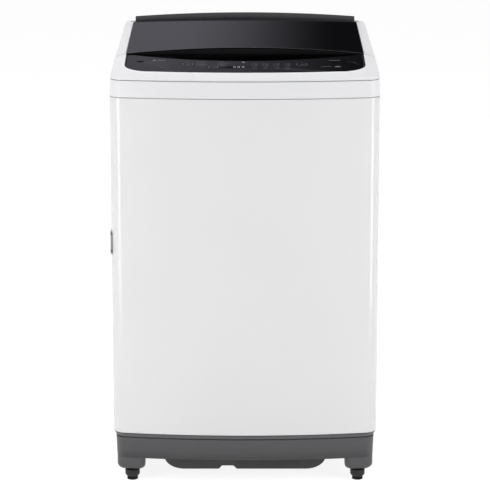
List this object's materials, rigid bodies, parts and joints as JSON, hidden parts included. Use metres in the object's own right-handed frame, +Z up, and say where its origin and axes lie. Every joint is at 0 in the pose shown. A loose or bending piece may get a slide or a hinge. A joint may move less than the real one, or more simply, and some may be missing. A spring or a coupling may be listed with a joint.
{
  "type": "top load washing machine",
  "caption": "Upright white top loading washer with a dark tinted lid, sloped control panel and suspended tub.",
  "frame": {"origin": "centre of the footprint on the floor", "axes": "+X right, +Y to the back, +Z up"},
  "size_m": [0.5423, 0.546, 0.9],
  "materials": {
    "white_steel": "smooth white powder coat, satin",
    "bright_steel": "zinc-coated steel, dull",
    "basket_steel": "brushed stainless steel",
    "white_plastic": "white moulding, fine satin grain",
    "grey_plastic": "dark grey moulding, fine grain",
    "dark_plastic": "black moulding, satin",
    "gloss_black": "glossy black panel with pale printed marks",
    "tinted_glass": "dark tinted tempered glass, polished",
    "black_rubber": "black rubber",
    "tub_plastic": "pale grey moulding",
    "cast_alloy": "bare die-cast alloy",
    "blue_plastic": "pale blue-grey moulding",
    "circuit_board": "green circuit board"
  },
  "bodies": {
    "cabinet": {"cabinet": "white_steel", "back_cover": "bright_steel", "base_frame": "grey_plastic", "bottom_cover": "grey_plastic", "side_grip": "white_plastic", "top_cover": "white_plastic", "control_housing": "white_plastic", "control_fascia": "gloss_black", "control_board": "circuit_board", "finger_pocket": "dark_plastic", "hinge_cover": "dark_plastic", "screw_plug_left": "black_rubber", "screw_plug_right": "black_rubber", "cold_inlet_valve": "white_plastic", "hot_inlet_valve": "white_plastic", "cord_gland": "dark_plastic", "drain_outlet": "grey_plastic", "drawer_housing": "white_plastic", "suspension_rod_front_left": "bright_steel", "suspension_rod_front_right": "bright_steel", "suspension_rod_rear_left": "bright_steel", "suspension_rod_rear_right": "bright_steel", "suspension_spring_front_left": "bright_steel", "suspension_spring_front_right": "bright_steel", "suspension_spring_rear_left": "bright_steel", "suspension_spring_rear_right": "bright_steel"},
    "lid": {"lid_glass": "tinted_glass", "lid_frame": "dark_plastic"},
    "drawer": {"detergent_drawer": "white_plastic"},
    "foot_front_left": {"foot_front_left": "grey_plastic", "foot_pad_front_left": "black_rubber"},
    "foot_front_right": {"foot_front_right": "grey_plastic", "foot_pad_front_right": "black_rubber"},
    "foot_rear_left": {"foot_rear_left": "grey_plastic", "foot_pad_rear_left": "black_rubber"},
    "foot_rear_right": {"foot_rear_right": "grey_plastic", "foot_pad_rear_right": "black_rubber"},
    "power_key": {"power_key": "gloss_black"},
    "start_key": {"start_key": "gloss_black"},
    "program_key": {"program_key": "gloss_black"},
    "option_key_1": {"option_key_1": "gloss_black"},
    "option_key_2": {"option_key_2": "gloss_black"},
    "option_key_3": {"option_key_3": "gloss_black"},
    "option_key_4": {"option_key_4": "gloss_black"},
    "tub": {"outer_tub": "tub_plastic", "tub_cover": "tub_plastic", "drain_valve": "dark_plastic", "drive_plate": "bright_steel", "clutch_housing": "cast_alloy", "motor_housing": "cast_alloy", "drive_belt": "black_rubber"},
    "basket": {"basket": "basket_steel", "balance_ring": "tub_plastic", "basket_hub": "cast_alloy", "lint_filter": "blue_plastic"},
    "pulsator": {"pulsator": "blue_plastic", "pulsator_cap": "white_plastic", "wash_shaft": "bright_steel"},
    "drive_pulley": {"drive_pulley": "cast_alloy"},
    "motor_rotor": {"motor_pulley": "cast_alloy"}
  },
  "joints": [
    {"name": "lid_hinge", "type": "hinge", "parent": "cabinet", "child": "lid", "pos_m": [0, 0.24, 0.87201], "axis": [-1, 0, 0], "range_deg": [0, 95]},
    {"name": "drawer_slide", "type": "slide", "parent": "cabinet", "child": "drawer", "axis": [0, -1, 0], "range_m": [0, 0.05]},
    {"name": "foot_front_left_turn", "type": "hinge", "parent": "cabinet", "child": "foot_front_left", "pos_m": [-0.232, -0.227, 0.02], "axis": [0, 0, 1], "continuous": true},
    {"name": "foot_front_right_turn", "type": "hinge", "parent": "cabinet", "child": "foot_front_right", "pos_m": [0.232, -0.227, 0.02], "axis": [0, 0, 1], "continuous": true},
    {"name": "foot_rear_left_turn", "type": "hinge", "parent": "cabinet", "child": "foot_rear_left", "pos_m": [-0.232, 0.227, 0.02], "axis": [0, 0, 1], "continuous": true},
    {"name": "foot_rear_right_turn", "type": "hinge", "parent": "cabinet", "child": "foot_rear_right", "pos_m": [0.232, 0.227, 0.02], "axis": [0, 0, 1], "continuous": true},
    {"name": "power_key_press", "type": "slide", "parent": "cabinet", "child": "power_key", "axis": [0, 0, -1], "range_m": [0, 0.001], "stiffness_N_per_m": 500, "springref_m": -0.001},
    {"name": "start_key_press", "type": "slide", "parent": "cabinet", "child": "start_key", "axis": [0, 0, -1], "range_m": [0, 0.001], "stiffness_N_per_m": 500, "springref_m": -0.001},
    {"name": "program_key_press", "type": "slide", "parent": "cabinet", "child": "program_key", "axis": [0, 0, -1], "range_m": [0, 0.001], "stiffness_N_per_m": 500, "springref_m": -0.001},
    {"name": "option_key_1_press", "type": "slide", "parent": "cabinet", "child": "option_key_1", "axis": [0, 0, -1], "range_m": [0, 0.001], "stiffness_N_per_m": 500, "springref_m": -0.001},
    {"name": "option_key_2_press", "type": "slide", "parent": "cabinet", "child": "option_key_2", "axis": [0, 0, -1], "range_m": [0, 0.001], "stiffness_N_per_m": 500, "springref_m": -0.001},
    {"name": "option_key_3_press", "type": "slide", "parent": "cabinet", "child": "option_key_3", "axis": [0, 0, -1], "range_m": [0, 0.001], "stiffness_N_per_m": 500, "springref_m": -0.001},
    {"name": "option_key_4_press", "type": "slide", "parent": "cabinet", "child": "option_key_4", "axis": [0, 0, -1], "range_m": [0, 0.001], "stiffness_N_per_m": 500, "springref_m": -0.001},
    {"name": "tub_bounce", "type": "slide", "parent": "cabinet", "child": "tub", "axis": [0, 0, 1], "range_m": [-0.02, 0.01], "stiffness_N_per_m": 9000, "springref_m": 0.0203, "deforming": ["suspension_spring_front_left", "suspension_spring_front_right", "suspension_spring_rear_left", "suspension_spring_rear_right"]},
    {"name": "basket_spin", "type": "hinge", "parent": "tub", "child": "basket", "pos_m": [0, 0.012, 0.5], "axis": [0, 0, 1], "continuous": true},
    {"name": "pulsator_spin", "type": "hinge", "parent": "tub", "child": "pulsator", "pos_m": [0, 0.012, 0.38], "axis": [0, 0, 1], "continuous": true},
    {"name": "pulley_spin", "type": "hinge", "parent": "tub", "child": "drive_pulley", "pos_m": [0, 0.012, 0.18], "axis": [0, 0, 1], "continuous": true},
    {"name": "motor_spin", "type": "hinge", "parent": "tub", "child": "motor_rotor", "pos_m": [0, 0.144, 0.18], "axis": [0, 0, 1], "continuous": true}
  ],
  "couplings": [
    {"joint": "pulley_spin", "follows": "pulsator_spin", "ratio": 4.5},
    {"joint": "motor_spin", "follows": "pulsator_spin", "ratio": 18.237}
  ]
}
